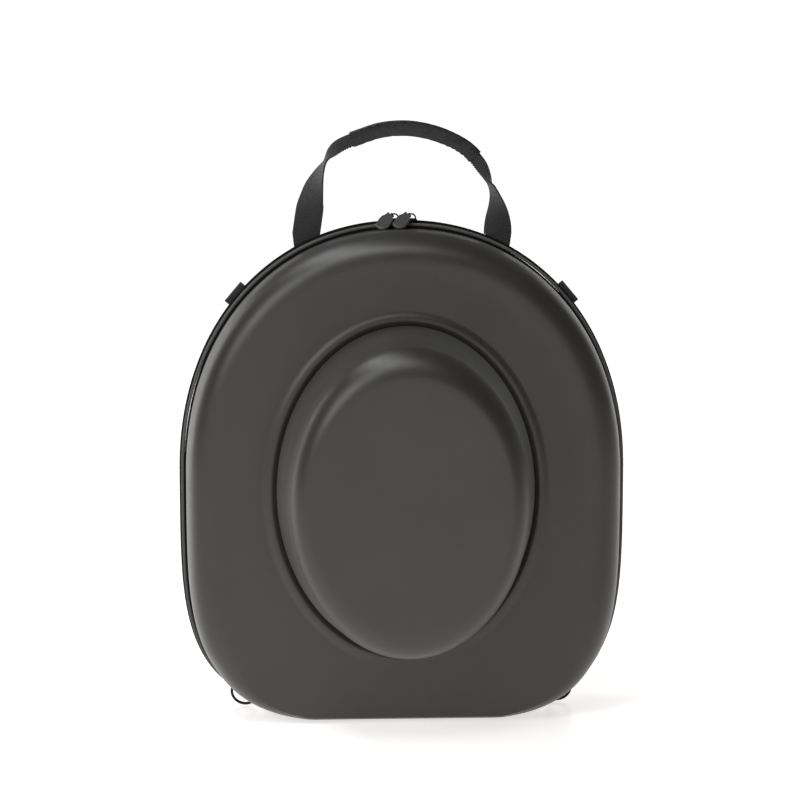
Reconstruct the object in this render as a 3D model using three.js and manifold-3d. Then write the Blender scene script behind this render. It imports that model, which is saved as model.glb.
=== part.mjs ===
// Hat case: two moulded shells closed by a zip that runs round their rim, with an oval crown dome on
// the front shell. It stands on the flat foot of the two shells. Millimetres, +Z up, front towards -Y.
// Depths are counted forwards from the seam between the shells, and heights from the floor.
import * as THREE from 'three';
import { mergeVertices } from 'three/addons/utils/BufferGeometryUtils.js';
import Module from 'manifold-3d';

const wasm = await Module();
wasm.setup();

// Outline of the rim, seen from the front
const caseWidth = 360;
const caseHeight = 398;
const waistHeight = 196;
const topRoundness = 2.125;
const footRoundness = 4.05;
const footSink = 1.5;

// Shells
const shellWall = 3;
const frontWallDepth = 41;
const brimDepth = 56;
const crownDepth = 138;
const backDepth = 38;
const edgeDepth = 9;
const edgeWidth = 11;
const edgeTurn = 79;
const wallDraft = 4;
const frontFootRise = 38;
const backFootRise = 12;

// Crown dome and the low ridge round its base
const crownWidth = 204;
const crownHeight = 262;
const crownCentreHeight = 188;
const crownDraft = 9;
const crownShoulderDepth = 26;
const crownShoulderWidth = 16;
const crownShoulderHeight = 26;
const crownDome = 1;
const ridgeWidth = 13;
const ridgeHeight = 2;

// Zip and the two bindings beside it
const clearance = 0.3;
const coilWidth = 2.4;
const coilHeight = 2;
const bindingWidth = 5.5;
const bindingHeight = 3.9;
const footRecess = 1.2;
const frontBindingDrop = 1.2;
const slotStart = 1.4;
const slotWidth = 1.5;
const slotEnd = 9;
const lipDepth = 12;
const lipDraft = 1.2;

// Sliders and pulls
const sliderLength = 10;
const sliderWidth = 8;
const sliderHeight = 1.4;
const sliderSpread = 13.6;
const bridgeLength = 8.4;
const bridgeHeight = 4.2;
const bridgeWidth = 2;
const bridgeWire = 1.1;
const loopWire = 1.2;
const loopSpread = 4;
const pullLength = 19;
const pullWidth = 10.4;
const pullThickness = 2.2;
const pullHeadOffset = 3.6;
const pullHeadDepth = 5.2;
const pullHeadHeight = 5.4;

// Webbing handle
const webbingWidth = 21;
const webbingThickness = 1.5;
const foldWidth = 2.4;
const handleHalfSpan = 77;
const handleRise = 96;
const handleFoot = 16;
const handleBend = 4;
const gripWall = 0.9;

// Side tabs, and the lower tabs with their D-rings
const tabWidth = 20;
const tabHeight = 4.3;
const tabOffset = 133;
const ringTabWidth = 16.4;
const ringOffset = 128.5;
const ringWire = 2.2;
const ringRadius = 10.5;

// Facets
const rimSteps = 60;
const wireSides = 6;

const shellInset = bindingHeight + clearance;
const seamDepth = coilWidth / 2 + clearance;
const rebateDepth = seamDepth + bindingWidth + clearance;
const wallStart = rebateDepth + clearance * 6;
const rimPlane = (crownDepth - backDepth) / 2;
const coilInset = 0.8;

const mix = (a, b, share) => a + (b - a) * share;

function smooth(low, high, value) {
  const share = Math.min(1, Math.max(0, (value - low) / (high - low)));
  return share * share * (3 - 2 * share);
}

// Rim outline: a rounded arch above the waist and a squarer foot, cut flat where it meets the floor.
function outlinePoint(angle) {
  const across = Math.cos(angle);
  const up = Math.sin(angle);
  const upper = up >= 0;
  const power = upper ? topRoundness : footRoundness;
  const reach = upper ? caseHeight - waistHeight : waistHeight + footSink;
  const sum = Math.abs(across / (caseWidth / 2)) ** power + Math.abs(up / reach) ** power;
  const radius = sum ** (-1 / power);
  return { x: radius * across, z: Math.max(0, waistHeight + radius * up) };
}

function outlineNormal(angle) {
  const step = 0.004;
  const before = outlinePoint(angle - step);
  const after = outlinePoint(angle + step);
  const x = after.z - before.z;
  const z = before.x - after.x;
  const length = Math.hypot(x, z);
  return { x: x / length, z: z / length };
}

// The angle at which the outline passes a given distance from the centre line, above or below the waist.
function outlineAngle(offset, upper) {
  let low = upper ? Math.PI / 2 : -Math.PI / 2;
  let high = 0;
  for (let i = 0; i < 40; i += 1) {
    const middle = (low + high) / 2;
    if (outlinePoint(middle).x < offset) low = middle;
    else high = middle;
  }
  return low;
}

// Crown oval seen from the front, grown outwards or drawn inwards.
function crownPoint(angle, growX, growZ) {
  const across = Math.cos(angle) / (crownWidth / 2 + growX);
  const up = Math.sin(angle) / (crownHeight / 2 + growZ);
  const radius = 1 / Math.hypot(across, up);
  return { x: radius * Math.cos(angle), z: crownCentreHeight + radius * Math.sin(angle) };
}

// One point of a shell. inset is counted from the rim outline. Towards the floor it gives way to foot,
// from the height footRise down.
function shellPoint(angle, row) {
  const rim = outlinePoint(angle);
  const normal = outlineNormal(angle);
  const footShare = Math.max(0, 1 - rim.z / row.footRise) ** 1.5;
  const inset = mix(row.inset, row.foot, footShare);
  const edge = { x: rim.x - normal.x * inset, z: rim.z - normal.z * inset };
  const blend = row.blend ?? 0;
  if (blend === 0) return new THREE.Vector3(edge.x, -row.depth, edge.z);
  const oval = crownPoint(angle, row.growX, row.growZ);
  return new THREE.Vector3(mix(edge.x, oval.x, blend), -row.depth, mix(edge.z, oval.z, blend));
}

function ringPoints(row) {
  const points = [];
  for (let i = 0; i < rimSteps; i += 1) {
    points.push(shellPoint(((i + 0.5) / rimSteps) * Math.PI * 2, row));
  }
  return points;
}

// A closed mesh through rings of equally many points. The ends are closed by a fan round their middle,
// or the last ring is joined to the first.
function loft(rings, joined) {
  const count = rings[0].length;
  const positions = [];
  const index = [];
  rings.forEach((ring) => ring.forEach((p) => positions.push(p.x, p.y, p.z)));
  const spans = joined ? rings.length : rings.length - 1;
  for (let i = 0; i < spans; i += 1) {
    const next = (i + 1) % rings.length;
    for (let j = 0; j < count; j += 1) {
      const a = i * count + j;
      const b = i * count + ((j + 1) % count);
      const c = next * count + j;
      const d = next * count + ((j + 1) % count);
      index.push(a, b, c, b, d, c);
    }
  }
  if (!joined) {
    [0, rings.length - 1].forEach((end) => {
      const middle = new THREE.Vector3();
      rings[end].forEach((p) => middle.addScaledVector(p, 1 / count));
      const hub = positions.length / 3;
      positions.push(middle.x, middle.y, middle.z);
      for (let j = 0; j < count; j += 1) {
        const a = end * count + j;
        const b = end * count + ((j + 1) % count);
        if (end === 0) index.push(hub, b, a);
        else index.push(hub, a, b);
      }
    });
  }
  const geometry = new THREE.BufferGeometry();
  geometry.setAttribute('position', new THREE.Float32BufferAttribute(positions, 3));
  geometry.setIndex(index);
  return outward(geometry);
}

// Turns every face round when the closed mesh has its faces pointing in.
function outward(geometry) {
  const position = geometry.attributes.position;
  const index = geometry.index.array;
  const a = new THREE.Vector3();
  const b = new THREE.Vector3();
  const c = new THREE.Vector3();
  let volume = 0;
  for (let i = 0; i < index.length; i += 3) {
    a.fromBufferAttribute(position, index[i]);
    b.fromBufferAttribute(position, index[i + 1]);
    c.fromBufferAttribute(position, index[i + 2]);
    volume += a.dot(b.cross(c));
  }
  if (volume < 0) {
    for (let i = 0; i < index.length; i += 3) {
      [index[i + 1], index[i + 2]] = [index[i + 2], index[i + 1]];
    }
  }
  geometry.computeVertexNormals();
  return geometry;
}

// The inner face of a shell: the rings that aren't relief, moved in by the wall, square to the surface.
function innerRings(rows, side) {
  const kept = rows.filter((row) => !row.relief);
  const rings = kept.map(ringPoints);
  return rings.map((ring, i) => ring.map((point, j) => {
    if (i === 0) return shellPoint(((j + 0.5) / rimSteps) * Math.PI * 2, innerMouth(rows[0]));
    const next = rings[Math.min(i + 1, rings.length - 1)];
    const along = new THREE.Vector3().subVectors(next[j], rings[i - 1][j]);
    const before = ring[(j + rimSteps - 1) % rimSteps];
    const round = new THREE.Vector3().subVectors(ring[(j + 1) % rimSteps], before);
    const normal = along.cross(round).normalize();
    return point.clone().addScaledVector(normal, side * shellWall);
  }));
}

const innerMouth = (row) => ({ ...row, inset: row.inset + shellWall, foot: row.foot + shellWall });


// Rows from the seam outwards. Under the binding the shell is drawn in, and drawn in further on the foot.
const footInset = shellInset + footRecess;

// Front shell: a narrow slot beside the binding, then the lip of the wall and its bulge up to the edge.
// Rows marked relief shape the outer face only.
const slotInset = shellInset + slotWidth;
const frontWallRows = () => [
  { depth: seamDepth, inset: shellInset, foot: footInset },
  { depth: seamDepth + slotStart, inset: shellInset, foot: footInset, relief: true },
  { depth: seamDepth + slotStart + clearance, inset: slotInset, foot: footInset + slotWidth, relief: true },
  { depth: seamDepth + slotEnd, inset: slotInset, foot: footInset, relief: true },
  { depth: lipDepth, inset: shellInset + lipDraft, foot: 0 },
  { depth: mix(lipDepth, frontWallDepth, 0.3), inset: shellInset + mix(lipDraft, wallDraft, 0.62), foot: 0 },
  { depth: frontWallDepth, inset: shellInset + wallDraft, foot: 0 },
];

const backWallRows = () => [
  { depth: seamDepth, inset: shellInset, foot: footInset },
  { depth: rebateDepth, inset: shellInset, foot: footInset },
  { depth: wallStart, inset: shellInset + clearance, foot: 0 },
  { depth: backDepth - edgeDepth, inset: shellInset + wallDraft, foot: 0 },
];

// Adds the rounded edge, turned through an angle in degrees, and faces the rows to the front or the back.
function withEdge(wall, side, turned, footRise) {
  const rows = [...wall];
  const last = wall[wall.length - 1];
  const edgeSteps = 4;
  for (let i = 1; i <= edgeSteps; i += 1) {
    const turn = THREE.MathUtils.degToRad((i / edgeSteps) * turned);
    const drawn = edgeWidth * (1 - Math.cos(turn));
    const depth = last.depth + edgeDepth * Math.sin(turn);
    rows.push({ depth, inset: last.inset + drawn, foot: drawn, relief: i % 2 === 1 });
  }
  return rows.map((row) => ({ ...row, footRise, depth: side * row.depth }));
}

// Front shell: wall, brim panel rising to the crown, ridge, crown wall, shoulder and flat top.
// Ridge table: out is a share of the ridge's width, lift a share of its height.
const ridgeTable = [
  { out: 1, lift: 0 },
  { out: 0.74, lift: 0.6 },
  { out: 0.5, lift: 1 },
  { out: 0.15, lift: 0.1 },
  { out: 0, lift: -0.45 },
];

function frontRows() {
  const rows = withEdge(frontWallRows(), 1, edgeTurn, frontFootRise);
  const edge = rows[rows.length - 1];
  [0.3, 0.65, 1].forEach((blend) => {
    const depth = brimDepth - (brimDepth - edge.depth) * (1 - blend) ** 1.3;
    rows.push({ ...edge, depth, blend, growX: ridgeWidth, growZ: ridgeWidth });
  });
  ridgeTable.slice(1).forEach(({ out, lift }) => {
    const grow = out * ridgeWidth;
    const depth = brimDepth + lift * ridgeHeight;
    rows.push({ ...edge, depth, blend: 1, growX: grow, growZ: grow, relief: true });
  });
  const shoulderStart = crownDepth - crownShoulderDepth;
  [0.05, 1].forEach((share) => {
    const draft = -crownDraft * share;
    rows.push({ ...edge, depth: mix(brimDepth, shoulderStart, share), blend: 1, growX: draft, growZ: draft });
  });
  const shoulderSteps = 6;
  for (let i = 1; i <= shoulderSteps; i += 1) {
    const turn = ((i / shoulderSteps) * Math.PI) / 2;
    const drawn = 1 - Math.cos(turn);
    rows.push({
      ...edge,
      blend: 1,
      relief: i % 2 === 1,
      depth: shoulderStart + (crownShoulderDepth - crownDome) * Math.sin(turn),
      growX: -crownDraft - crownShoulderWidth * drawn,
      growZ: -crownDraft - crownShoulderHeight * drawn,
    });
  }
  const last = rows[rows.length - 1];
  const share = 0.5;
  rows.push({
    ...last,
    depth: crownDepth,
    growX: mix(last.growX, -crownWidth / 2, share),
    growZ: mix(last.growZ, -crownHeight / 2, share),
  });
  return rows;
}

function backRows() {
  const rows = withEdge(backWallRows(), -1, 90, backFootRise);
  const edge = rows[rows.length - 1];
  rows.push({ ...edge, blend: 0.5, growX: 0, growZ: 0 });
  return rows;
}

// Rings from the outer middle to the mouth, and back along the inner face.
function shellGeometry(rows, side) {
  const outer = rows.map(ringPoints).reverse();
  const inner = innerRings(rows, side);
  return loft([...outer, ...inner], false);
}

// A band round the rim with a small closed section. Section points: inset and depth.
function rimBand(section) {
  const rings = section.map(({ inset, depth }) => (
    ringPoints({ inset, foot: inset + footRecess, footRise: backFootRise, depth })
  ));
  return loft(rings, true);
}

// Rounded outer corners of the binding, as shares of its width and height.
const bindingTable = [
  { along: 0, down: 1 },
  { along: 0, down: 0.22 },
  { along: 0.16, down: 0 },
  { along: 0.72, down: 0 },
  { along: 1, down: 0.3 },
  { along: 1, down: 1 },
];

function bindingGeometry(side, drop) {
  return rimBand(bindingTable.map(({ along, down }) => ({
    inset: mix(drop, bindingHeight, down),
    depth: side * (seamDepth + along * bindingWidth),
  })));
}

function coilGeometry() {
  const half = coilWidth / 2;
  return rimBand([
    { inset: coilInset + coilHeight, depth: -half },
    { inset: coilInset, depth: -half },
    { inset: coilInset, depth: half },
    { inset: coilInset + coilHeight, depth: half },
  ]);
}

// A frame that stands on the rim: x along it, y backwards, z out of it, from a height above the outline.
function rimFrame(angle, height, depth) {
  const point = outlinePoint(angle);
  const normal = outlineNormal(angle);
  const frame = new THREE.Matrix4();
  const out = new THREE.Vector3(normal.x, 0, normal.z);
  const back = new THREE.Vector3(0, 1, 0);
  frame.makeBasis(new THREE.Vector3().crossVectors(back, out), back, out);
  frame.setPosition(point.x + normal.x * height, depth, point.z + normal.z * height);
  return frame;
}

function extruded(shape, depth, curveSegments) {
  const geometry = new THREE.ExtrudeGeometry(shape, { depth, bevelEnabled: false, curveSegments });
  geometry.translate(0, 0, -depth / 2);
  return geometry;
}

// Slider: a low body over the coil with an arched bridge, open under the bridge.
function sliderGeometries() {
  const half = sliderLength / 2;
  const body = new THREE.Shape();
  body.moveTo(-half, 0);
  body.lineTo(half, 0);
  body.lineTo(half * 0.86, sliderHeight);
  body.lineTo(-half * 0.86, sliderHeight);
  const bridge = new THREE.Shape();
  const reach = bridgeLength / 2;
  const top = sliderHeight + bridgeHeight;
  const foot = sliderHeight / 2;
  bridge.moveTo(-reach, foot);
  bridge.quadraticCurveTo(-reach, top, 0, top);
  bridge.quadraticCurveTo(reach, top, reach, foot);
  bridge.lineTo(reach - bridgeWire, foot);
  bridge.quadraticCurveTo(reach - bridgeWire, top - bridgeWire, 0, top - bridgeWire);
  bridge.quadraticCurveTo(-reach + bridgeWire, top - bridgeWire, -reach + bridgeWire, foot);
  return [extruded(body, sliderWidth, 1), extruded(bridge, bridgeWidth, 6)].map((geometry) => (
    geometry.rotateX(Math.PI / 2)
  ));
}

// Joins two overlapping closed meshes into one solid.
function joined(first, second) {
  const solids = [first, second].map((geometry) => {
    const bare = geometry.clone();
    bare.deleteAttribute('normal');
    bare.deleteAttribute('uv');
    const merged = mergeVertices(bare, 1e-4);
    const vertProperties = new Float32Array(merged.attributes.position.array);
    const triVerts = new Uint32Array(merged.index.array);
    return new wasm.Manifold(new wasm.Mesh({ numProp: 3, vertProperties, triVerts }));
  });
  const mesh = solids[0].add(solids[1]).getMesh();
  const geometry = new THREE.BufferGeometry();
  geometry.setAttribute('position', new THREE.Float32BufferAttribute(mesh.vertProperties, 3));
  geometry.setIndex(Array.from(mesh.triVerts));
  geometry.computeVertexNormals();
  return geometry;
}

// Round wire along a curve, closed on itself or with flat ends. side stays across the wire all along.
function wireGeometry(curve, wire, steps, closed, side) {
  const rings = [];
  for (let i = 0; i < (closed ? steps : steps + 1); i += 1) {
    const share = i / steps;
    const along = curve.getTangentAt(share);
    const out = new THREE.Vector3().crossVectors(along, side).normalize();
    const across = new THREE.Vector3().crossVectors(out, along);
    const point = curve.getPointAt(share);
    rings.push(Array.from({ length: wireSides }, (_, j) => {
      const turn = (j / wireSides) * Math.PI * 2;
      return point.clone()
        .addScaledVector(across, (Math.cos(turn) * wire) / 2)
        .addScaledVector(out, (Math.sin(turn) * wire) / 2);
    }));
  }
  return loft(rings, closed);
}

// D-ring: a straight bar along x at y = 0 and a half circle towards +y.
function dRingGeometry() {
  const corner = ringWire * 0.6;
  const points = [];
  for (let i = 0; i <= 4; i += 1) {
    points.push(new THREE.Vector3(mix(corner - ringRadius, ringRadius - corner, i / 4), 0, 0));
  }
  for (let i = 0; i <= 10; i += 1) {
    const turn = (i / 10) * Math.PI;
    const height = mix(corner, ringRadius, Math.sin(turn));
    points.push(new THREE.Vector3(ringRadius * Math.cos(turn), height, 0));
  }
  const curve = new THREE.CatmullRomCurve3(points, true, 'centripetal');
  return wireGeometry(curve, ringWire, 24, true, new THREE.Vector3(0, 0, 1));
}

// The pull leans from above the slider down to the front shell: directions along the rim, back and out.
const pullAlong = new THREE.Vector3(-0.34, -0.74, -0.58).normalize();
const pullFace = new THREE.Vector3(0, -0.62, 0.78).projectOnPlane(pullAlong).normalize();
const pullAcross = new THREE.Vector3().crossVectors(pullFace, pullAlong);
const pullHead = new THREE.Vector3(-pullHeadOffset, -pullHeadDepth, pullHeadHeight);

// Wire loop of the pull: out of the pull's narrow end, round the left foot of the bridge and back.
function pullLoopGeometry() {
  const prong = (side, back) => pullHead.clone()
    .addScaledVector(pullAcross, (side * loopSpread) / 2)
    .addScaledVector(pullAlong, -back);
  const inside = bridgeLength / 2 - bridgeWire;
  const outside = bridgeLength / 2;
  const high = sliderHeight + bridgeHeight * 0.38;
  const behind = bridgeWidth / 2 + loopWire;
  const points = [
    prong(1, clearance),
    prong(1, clearance + loopWire),
    new THREE.Vector3(-inside * 0.2, 0, high),
    new THREE.Vector3(-inside * 0.4, behind * 1.1, high),
    new THREE.Vector3(-(inside + outside) / 2, behind * 1.35, high),
    new THREE.Vector3(-outside - loopWire, behind, high),
    new THREE.Vector3(-outside - loopWire * 1.5, 0, high + loopWire),
    prong(-1, clearance + loopWire),
    prong(-1, clearance),
  ];
  const curve = new THREE.CatmullRomCurve3(points, false, 'centripetal');
  return wireGeometry(curve, loopWire, 18, false, new THREE.Vector3(0, 0, 1));
}

// Pull: a flat drop, round at its foot and narrower at its head.
function pullGeometry() {
  const wide = pullWidth / 2;
  const narrow = loopSpread / 2 + loopWire;
  const shape = new THREE.Shape();
  shape.absarc(0, wide - pullLength, wide, Math.PI, Math.PI * 2);
  shape.lineTo(narrow, -narrow / 2);
  shape.lineTo(narrow * 0.8, 0);
  shape.lineTo(-narrow * 0.8, 0);
  shape.lineTo(-narrow, -narrow / 2);
  const geometry = extruded(shape, pullThickness, 8);
  const place = new THREE.Matrix4().makeBasis(pullAcross, pullAlong.clone().negate(), pullFace);
  return geometry.applyMatrix4(place.setPosition(pullHead));
}

// Webbing folded once, standing on the rim: two layers joined at their outer end.
function tabGeometry(width, height, room) {
  const outer = webbingThickness + room / 2;
  const foot = -shellInset + clearance;
  const round = height - outer;
  const shape = new THREE.Shape();
  shape.moveTo(-outer, foot);
  shape.lineTo(-outer, round);
  shape.absarc(0, round, outer, Math.PI, 0, true);
  shape.lineTo(outer, foot);
  shape.lineTo(room / 2, foot);
  shape.lineTo(room / 2, round);
  shape.absarc(0, round, room / 2, 0, Math.PI, false);
  shape.lineTo(-room / 2, foot);
  const back = new THREE.Vector3(0, 1, 0);
  const out = new THREE.Vector3(0, 0, 1);
  const place = new THREE.Matrix4().makeBasis(back, out, new THREE.Vector3(1, 0, 0));
  return extruded(shape, width, 5).applyMatrix4(place);
}

// Handle path, from the left foot to the right: x as a share of the half span, z of the rise above the
// shell, turn from broad side forwards (1) to edge forwards (0), fold from flat (0) to doubled (1).
const handleTable = [
  { x: -1, z: 0.05, turn: 1, fold: 0 },
  { x: -0.965, z: 0.24, turn: 0.92, fold: 0 },
  { x: -0.942, z: 0.35, turn: 0.64, fold: 0 },
  { x: -0.91, z: 0.46, turn: 0.42, fold: 0 },
  { x: -0.855, z: 0.575, turn: 0.17, fold: 0 },
  { x: -0.79, z: 0.675, turn: 0, fold: 0.12 },
  { x: -0.72, z: 0.742, turn: 0, fold: 0.6 },
  { x: -0.62, z: 0.8, turn: 0, fold: 1 },
  { x: -0.43, z: 0.86, turn: 0, fold: 1 },
  { x: -0.2, z: 0.916, turn: 0, fold: 1 },
  { x: 0.06, z: 0.928, turn: 0, fold: 1 },
  { x: 0.3, z: 0.895, turn: 0, fold: 1 },
  { x: 0.5, z: 0.836, turn: 0, fold: 1 },
  { x: 0.67, z: 0.757, turn: 0, fold: 1 },
  { x: 0.79, z: 0.655, turn: 0, fold: 1 },
  { x: 0.88, z: 0.54, turn: 0, fold: 0.45 },
  { x: 0.935, z: 0.45, turn: -0.08, fold: 0 },
  { x: 0.972, z: 0.37, turn: -0.18, fold: 0 },
  { x: 0.995, z: 0.27, turn: -0.4, fold: 0 },
  { x: 1, z: 0.17, turn: -0.68, fold: 0 },
  { x: 1, z: 0.05, turn: -1, fold: 0 },
];
// Ends of the grip, as shares of the path.
const gripEnds = { left: 0.378, right: 0.683 };

const wingWidth = (webbingWidth - foldWidth) / 2;
const legDepth = rebateDepth + webbingThickness / 2;
const wallSlope = (wallDraft - clearance) / (backDepth - edgeDepth - wallStart);
const legAngle = outlineAngle(handleHalfSpan, true);
const legPoint = outlinePoint(legAngle);

function handlePath() {
  const points = handleTable.map(({ x, z }) => (
    new THREE.Vector3(x * handleHalfSpan, legDepth, legPoint.z + z * handleRise)
  ));
  return new THREE.CatmullRomCurve3(points, false, 'centripetal');
}

// Value of a column of the handle table at a share of the path.
function handleValue(share, column) {
  const place = share * (handleTable.length - 1);
  const low = Math.min(handleTable.length - 2, Math.floor(place));
  return mix(handleTable[low][column], handleTable[low + 1][column], smooth(0, 1, place - low));
}

// The two directions across the path: out of the arch, and backwards.
function handleFrame(path, share) {
  const back = new THREE.Vector3(0, 1, 0);
  const out = new THREE.Vector3().crossVectors(path.getTangent(share), back).normalize();
  return { point: path.getPoint(share), out, back };
}

// Places a flat plan of points across the path: u backwards and v out of the arch, turned by spin.
function placed(plan, frame, spin) {
  return plan.map(({ u, v }) => frame.point.clone()
    .addScaledVector(frame.back, u * Math.cos(spin) - v * Math.sin(spin))
    .addScaledVector(frame.out, u * Math.sin(spin) + v * Math.cos(spin)));
}

// Section of the webbing: a narrow spine and two wings that fold towards the inside of the arch.
function webbingSection(frame, turn, fold) {
  const half = webbingThickness / 2;
  const side = foldWidth / 2;
  const lean = (fold * Math.PI) / 2;
  const lift = (wingWidth / 2) * Math.sin(lean);
  const mitre = half * Math.tan(lean / 2);
  const tip = { u: side + wingWidth * Math.cos(lean), v: lift - wingWidth * Math.sin(lean) };
  const over = { u: half * Math.sin(lean), v: half * Math.cos(lean) };
  const plan = [
    { u: -tip.u - over.u, v: tip.v + over.v },
    { u: -side - mitre, v: lift + half },
    { u: side + mitre, v: lift + half },
    { u: tip.u + over.u, v: tip.v + over.v },
    { u: tip.u - over.u, v: tip.v - over.v },
    { u: side - mitre, v: lift - half },
    { u: -side + mitre, v: lift - half },
    { u: -tip.u + over.u, v: tip.v - over.v },
  ];
  return placed(plan, frame, (turn * Math.PI) / 2);
}

// The foot of the webbing lies along the back shell and bends up into the leg, behind the binding.
function footFrames(sign) {
  const normal = outlineNormal(legAngle);
  const out = new THREE.Vector3(sign * normal.x, 0, normal.z);
  const slope = new THREE.Vector3(sign * normal.z, 0, -normal.x);
  const draft = Math.atan(wallSlope);
  const bendDepth = (lean) => legDepth + handleBend * (1 - Math.sin(lean));
  const bendLift = (lean) => handleBend * (1 - Math.cos(lean));
  const onWall = (depth) => webbingThickness / 2 - shellInset - (depth - wallStart) * wallSlope;
  const frames = [];
  const add = (depth, height, lean) => {
    const point = new THREE.Vector3(sign * legPoint.x, depth, legPoint.z).addScaledVector(out, height);
    const back = new THREE.Vector3(0, Math.sin(lean), 0).addScaledVector(out, Math.cos(lean));
    frames.push({ point, out: slope, back });
  };
  const footEnd = bendDepth(draft) + handleFoot;
  add(footEnd, onWall(footEnd), draft);
  const bendSteps = 3;
  for (let i = 0; i <= bendSteps; i += 1) {
    const lean = mix(draft, Math.PI / 2, i / bendSteps);
    const height = onWall(bendDepth(draft)) + bendLift(lean) - bendLift(draft);
    add(bendDepth(lean), height, lean);
  }
  return frames;
}

function handleWebbingGeometry() {
  const path = handlePath();
  const steps = (handleTable.length - 1) * 2;
  const left = footFrames(-1).map((frame) => webbingSection(frame, handleTable[0].turn, 0));
  const right = footFrames(1).map((frame) => webbingSection(frame, -handleTable[0].turn, 0)).reverse();
  const arch = [];
  for (let i = 0; i <= steps; i += 1) {
    const share = i / steps;
    const frame = handleFrame(path, share);
    arch.push(webbingSection(frame, handleValue(share, 'turn'), handleValue(share, 'fold')));
  }
  return loft([...left, ...arch, ...right], false);
}

// Grip: a sleeve round the doubled webbing, open at both ends.
function gripGeometry() {
  const path = handlePath();
  const steps = 16;
  const half = webbingThickness / 2;
  const wide = foldWidth / 2 + half + clearance;
  const low = -wingWidth / 2 - clearance;
  const high = wingWidth / 2 + half + clearance;
  const plan = (grow, corner) => [
    { u: -wide - grow, v: high + grow - corner },
    { u: -wide - grow + corner, v: high + grow },
    { u: wide + grow - corner, v: high + grow },
    { u: wide + grow, v: high + grow - corner },
    { u: wide + grow, v: low - grow + corner },
    { u: wide + grow - corner, v: low - grow },
    { u: -wide - grow + corner, v: low - grow },
    { u: -wide - grow, v: low - grow + corner },
  ];
  const rings = (grow, corner) => Array.from({ length: steps + 1 }, (_, i) => {
    const share = mix(gripEnds.left, gripEnds.right, i / steps);
    return placed(plan(grow, corner), handleFrame(path, share), 0);
  });
  const outer = rings(gripWall, gripWall * 1.2);
  const inner = rings(0, gripWall * 0.1).reverse();
  return loft([...outer, ...inner], true);
}

// Materials
const look = (color, roughness, metalness) => new THREE.MeshStandardMaterial({ color, roughness, metalness });
const mouldedSkin = () => look(0x3d3b3a, 0.55, 0);
const bindingCloth = () => look(0x55544f, 0.8, 0);
const blackTape = () => look(0x1c1b1b, 0.85, 0);
const webbingCloth = () => look(0x2c2b2b, 0.9, 0);
const gripSkin = () => look(0x2a2a2b, 0.45, 0);
const blackMetal = () => look(0x111112, 0.35, 0.8);
const pullRubber = () => look(0x4b4b4c, 0.6, 0);

const group = new THREE.Group();
const hatCase = new THREE.Group();
hatCase.position.y = rimPlane;
group.add(hatCase);

function add(name, geometry, material, parent = hatCase) {
  const mesh = new THREE.Mesh(geometry, material);
  mesh.name = name;
  parent.add(mesh);
  return mesh;
}

// A group that stands on the rim at an angle, a height above the outline and a depth behind the seam.
function onRim(angle, height, back) {
  const place = new THREE.Group();
  place.applyMatrix4(rimFrame(angle, height, back));
  hatCase.add(place);
  return place;
}

add('front_shell', shellGeometry(frontRows(), 1), mouldedSkin());
add('back_shell', shellGeometry(backRows(), -1), mouldedSkin());
add('front_binding', bindingGeometry(1, frontBindingDrop), bindingCloth());
add('back_binding', bindingGeometry(-1, 0), blackTape());
add('zip_coil', coilGeometry(), look(0x151515, 0.5, 0));
add('handle_webbing', handleWebbingGeometry(), webbingCloth());
add('handle_grip', gripGeometry(), gripSkin());

// Upper tabs of folded webbing, then the lower tabs with a D-ring each. Swing is in degrees, backwards.
const ringTable = [
  { side: 'left', sign: -1, swing: 0 },
  { side: 'right', sign: 1, swing: 8 },
];
ringTable.forEach(({ side, sign, swing }) => {
  const upper = outlineAngle(tabOffset, true);
  const lower = outlineAngle(ringOffset, false);
  const mirrored = (angle) => (sign > 0 ? angle : Math.PI - angle);
  const tabPlace = onRim(mirrored(upper), 0, rebateDepth + webbingThickness + clearance);
  add(`${side}_tab`, tabGeometry(tabWidth, tabHeight, clearance), webbingCloth(), tabPlace);
  const ringRoom = ringWire + 2 * clearance;
  const ringDepth = rebateDepth + webbingThickness + ringRoom / 2;
  const ringPlace = onRim(mirrored(lower), 0, ringDepth);
  const loopHeight = webbingThickness + ringRoom / 2;
  add(`${side}_ring_tab`, tabGeometry(ringTabWidth, loopHeight, ringRoom), webbingCloth(), ringPlace);
  const ring = add(`${side}_d_ring`, dRingGeometry(), blackMetal(), ringPlace);
  ring.rotation.x = THREE.MathUtils.degToRad(90 - swing);
});

// Sliders side by side at the top of the rim. Each pull leans from its ring down to the front shell.
const pullTable = [
  { side: 'left', along: -0.5 },
  { side: 'right', along: 0.5 },
];
pullTable.forEach(({ side, along }) => {
  const offset = along * sliderSpread;
  const angle = offset < 0 ? Math.PI - outlineAngle(-offset, true) : outlineAngle(offset, true);
  const place = onRim(angle, clearance, 0);
  add(`${side}_slider`, joined(...sliderGeometries()), blackMetal(), place);
  add(`${side}_pull_loop`, pullLoopGeometry(), blackMetal(), place);
  add(`${side}_pull`, pullGeometry(), pullRubber(), place);
});

export default group;
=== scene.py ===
import math
import bmesh
import bpy
from mathutils import Matrix, Vector


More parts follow.
